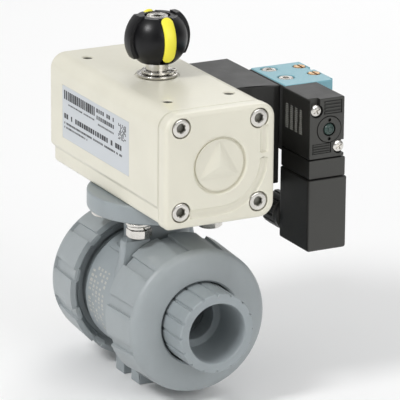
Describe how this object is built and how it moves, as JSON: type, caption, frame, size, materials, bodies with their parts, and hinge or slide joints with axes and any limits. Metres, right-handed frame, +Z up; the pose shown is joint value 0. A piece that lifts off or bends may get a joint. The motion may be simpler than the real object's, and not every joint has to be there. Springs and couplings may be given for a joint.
{
  "type": "actuated union ball valve",
  "caption": "Quarter-turn plastic ball valve with union nuts on both ends, turned by a piston actuator that a side-mounted solenoid valve drives.",
  "frame": {"origin": "centre of the underside of the two feet, on the stem axis", "axes": "+X along the pipe towards the front union and the end cap, +Y towards the solenoid valve, +Z up along the stem"},
  "size_m": [0.1213, 0.1096, 0.1693],
  "materials": {
    "valve_grey": "satin moulded PVC",
    "nut_grey": "satin moulded PVC",
    "cream_casing": "smooth semi-gloss",
    "black_plastic": "fine moulded grain",
    "adapter_grey": "matt",
    "teal_paint": "satin paint",
    "yellow_plastic": "satin",
    "steel": "bright",
    "brass": "satin",
    "rubber": "matt",
    "seat_white": "waxy PTFE",
    "ball_grey": "smooth",
    "aluminium": "machined",
    "label_paper": "printed film",
    "gasket_pale": "matt",
    "button_green": "satin"
  },
  "bodies": {
    "housing": {"valve_body": "valve_grey", "seat_carrier": "valve_grey", "face_o_ring_front": "rubber", "face_o_ring_rear": "rubber", "seat_ring_front": "seat_white", "seat_ring_rear": "seat_white", "flange_bolt_1": "steel", "flat_washer_1": "steel", "spring_washer_1": "steel", "end_cap_screw_1": "steel", "flange_bolt_2": "steel", "flat_washer_2": "steel", "spring_washer_2": "steel", "end_cap_screw_2": "steel", "flange_bolt_3": "steel", "flat_washer_3": "steel", "spring_washer_3": "steel", "end_cap_screw_3": "steel", "flange_bolt_4": "steel", "flat_washer_4": "steel", "spring_washer_4": "steel", "end_cap_screw_4": "steel", "actuator_body": "cream_casing", "end_cap": "cream_casing", "end_cap_gasket": "gasket_pale", "valve_gasket": "gasket_pale", "thrust_washer": "steel", "mount_screw_1": "steel", "mount_screw_2": "steel", "pilot_screw_1": "steel", "pilot_screw_2": "steel", "pilot_block": "black_plastic", "override_retainer": "black_plastic", "connector_collar": "black_plastic", "connector_box": "black_plastic", "cable_gland": "black_plastic", "label": "label_paper", "namur_adapter": "adapter_grey", "solenoid_valve_body": "teal_paint", "brass_plug_1": "brass", "brass_plug_2": "brass"},
    "drive_train": {"ball": "ball_grey", "stem": "valve_grey", "stem_o_ring": "rubber", "pinion_shaft": "steel", "circlip": "steel", "indicator_ball": "black_plastic", "indicator_screw": "steel", "indicator_stripe_front": "yellow_plastic", "indicator_stripe_rear": "yellow_plastic"},
    "front_piston": {"piston_front": "aluminium", "piston_ring_front": "rubber"},
    "rear_piston": {"piston_rear": "aluminium", "piston_ring_rear": "rubber"},
    "front_connector": {"end_connector_front": "valve_grey"},
    "front_nut": {"union_nut_front": "nut_grey"},
    "rear_connector": {"end_connector_rear": "valve_grey"},
    "rear_nut": {"union_nut_rear": "nut_grey"},
    "override": {"override_button": "button_green"},
    "valve_spool": {"spool": "aluminium"}
  },
  "joints": [
    {"name": "stem_turn", "type": "hinge", "parent": "housing", "child": "drive_train", "pos_m": [0, 0, 0.0377], "axis": [0, 0, -1], "range_deg": [0, 90]},
    {"name": "front_piston_slide", "type": "slide", "parent": "housing", "child": "front_piston", "axis": [1, 0, 0], "range_m": [0, 0.0119]},
    {"name": "rear_piston_slide", "type": "slide", "parent": "housing", "child": "rear_piston", "axis": [-1, 0, 0], "range_m": [0, 0.0119]},
    {"name": "front_nut_turn", "type": "hinge", "parent": "front_connector", "child": "front_nut", "pos_m": [0.03, 0, 0.0377], "axis": [1, 0, 0], "range_deg": [0, 720]},
    {"name": "front_union_slide", "type": "slide", "parent": "housing", "child": "front_connector", "axis": [1, 0, 0], "range_m": [0, 0.0081]},
    {"name": "rear_nut_turn", "type": "hinge", "parent": "rear_connector", "child": "rear_nut", "pos_m": [-0.03, 0, 0.0377], "axis": [-1, 0, 0], "range_deg": [0, 720]},
    {"name": "rear_union_slide", "type": "slide", "parent": "housing", "child": "rear_connector", "axis": [-1, 0, 0], "range_m": [0, 0.0081]},
    {"name": "override_press", "type": "slide", "parent": "housing", "child": "override", "axis": [-1, 0, 0], "range_m": [0, 0.0015], "stiffness_N_per_m": 600, "springref_m": -0.0015},
    {"name": "spool_shift", "type": "slide", "parent": "housing", "child": "valve_spool", "axis": [1, 0, 0], "range_m": [0, 0.003], "stiffness_N_per_m": 300, "springref_m": -0.002}
  ],
  "couplings": [
    {"joint": "front_piston_slide", "follows": "stem_turn", "m_per_rad": 0.0075},
    {"joint": "rear_piston_slide", "follows": "stem_turn", "m_per_rad": 0.0075},
    {"joint": "front_union_slide", "follows": "front_nut_turn", "m_per_rad": 0.00063662},
    {"joint": "rear_union_slide", "follows": "rear_nut_turn", "m_per_rad": 0.00063662}
  ]
}
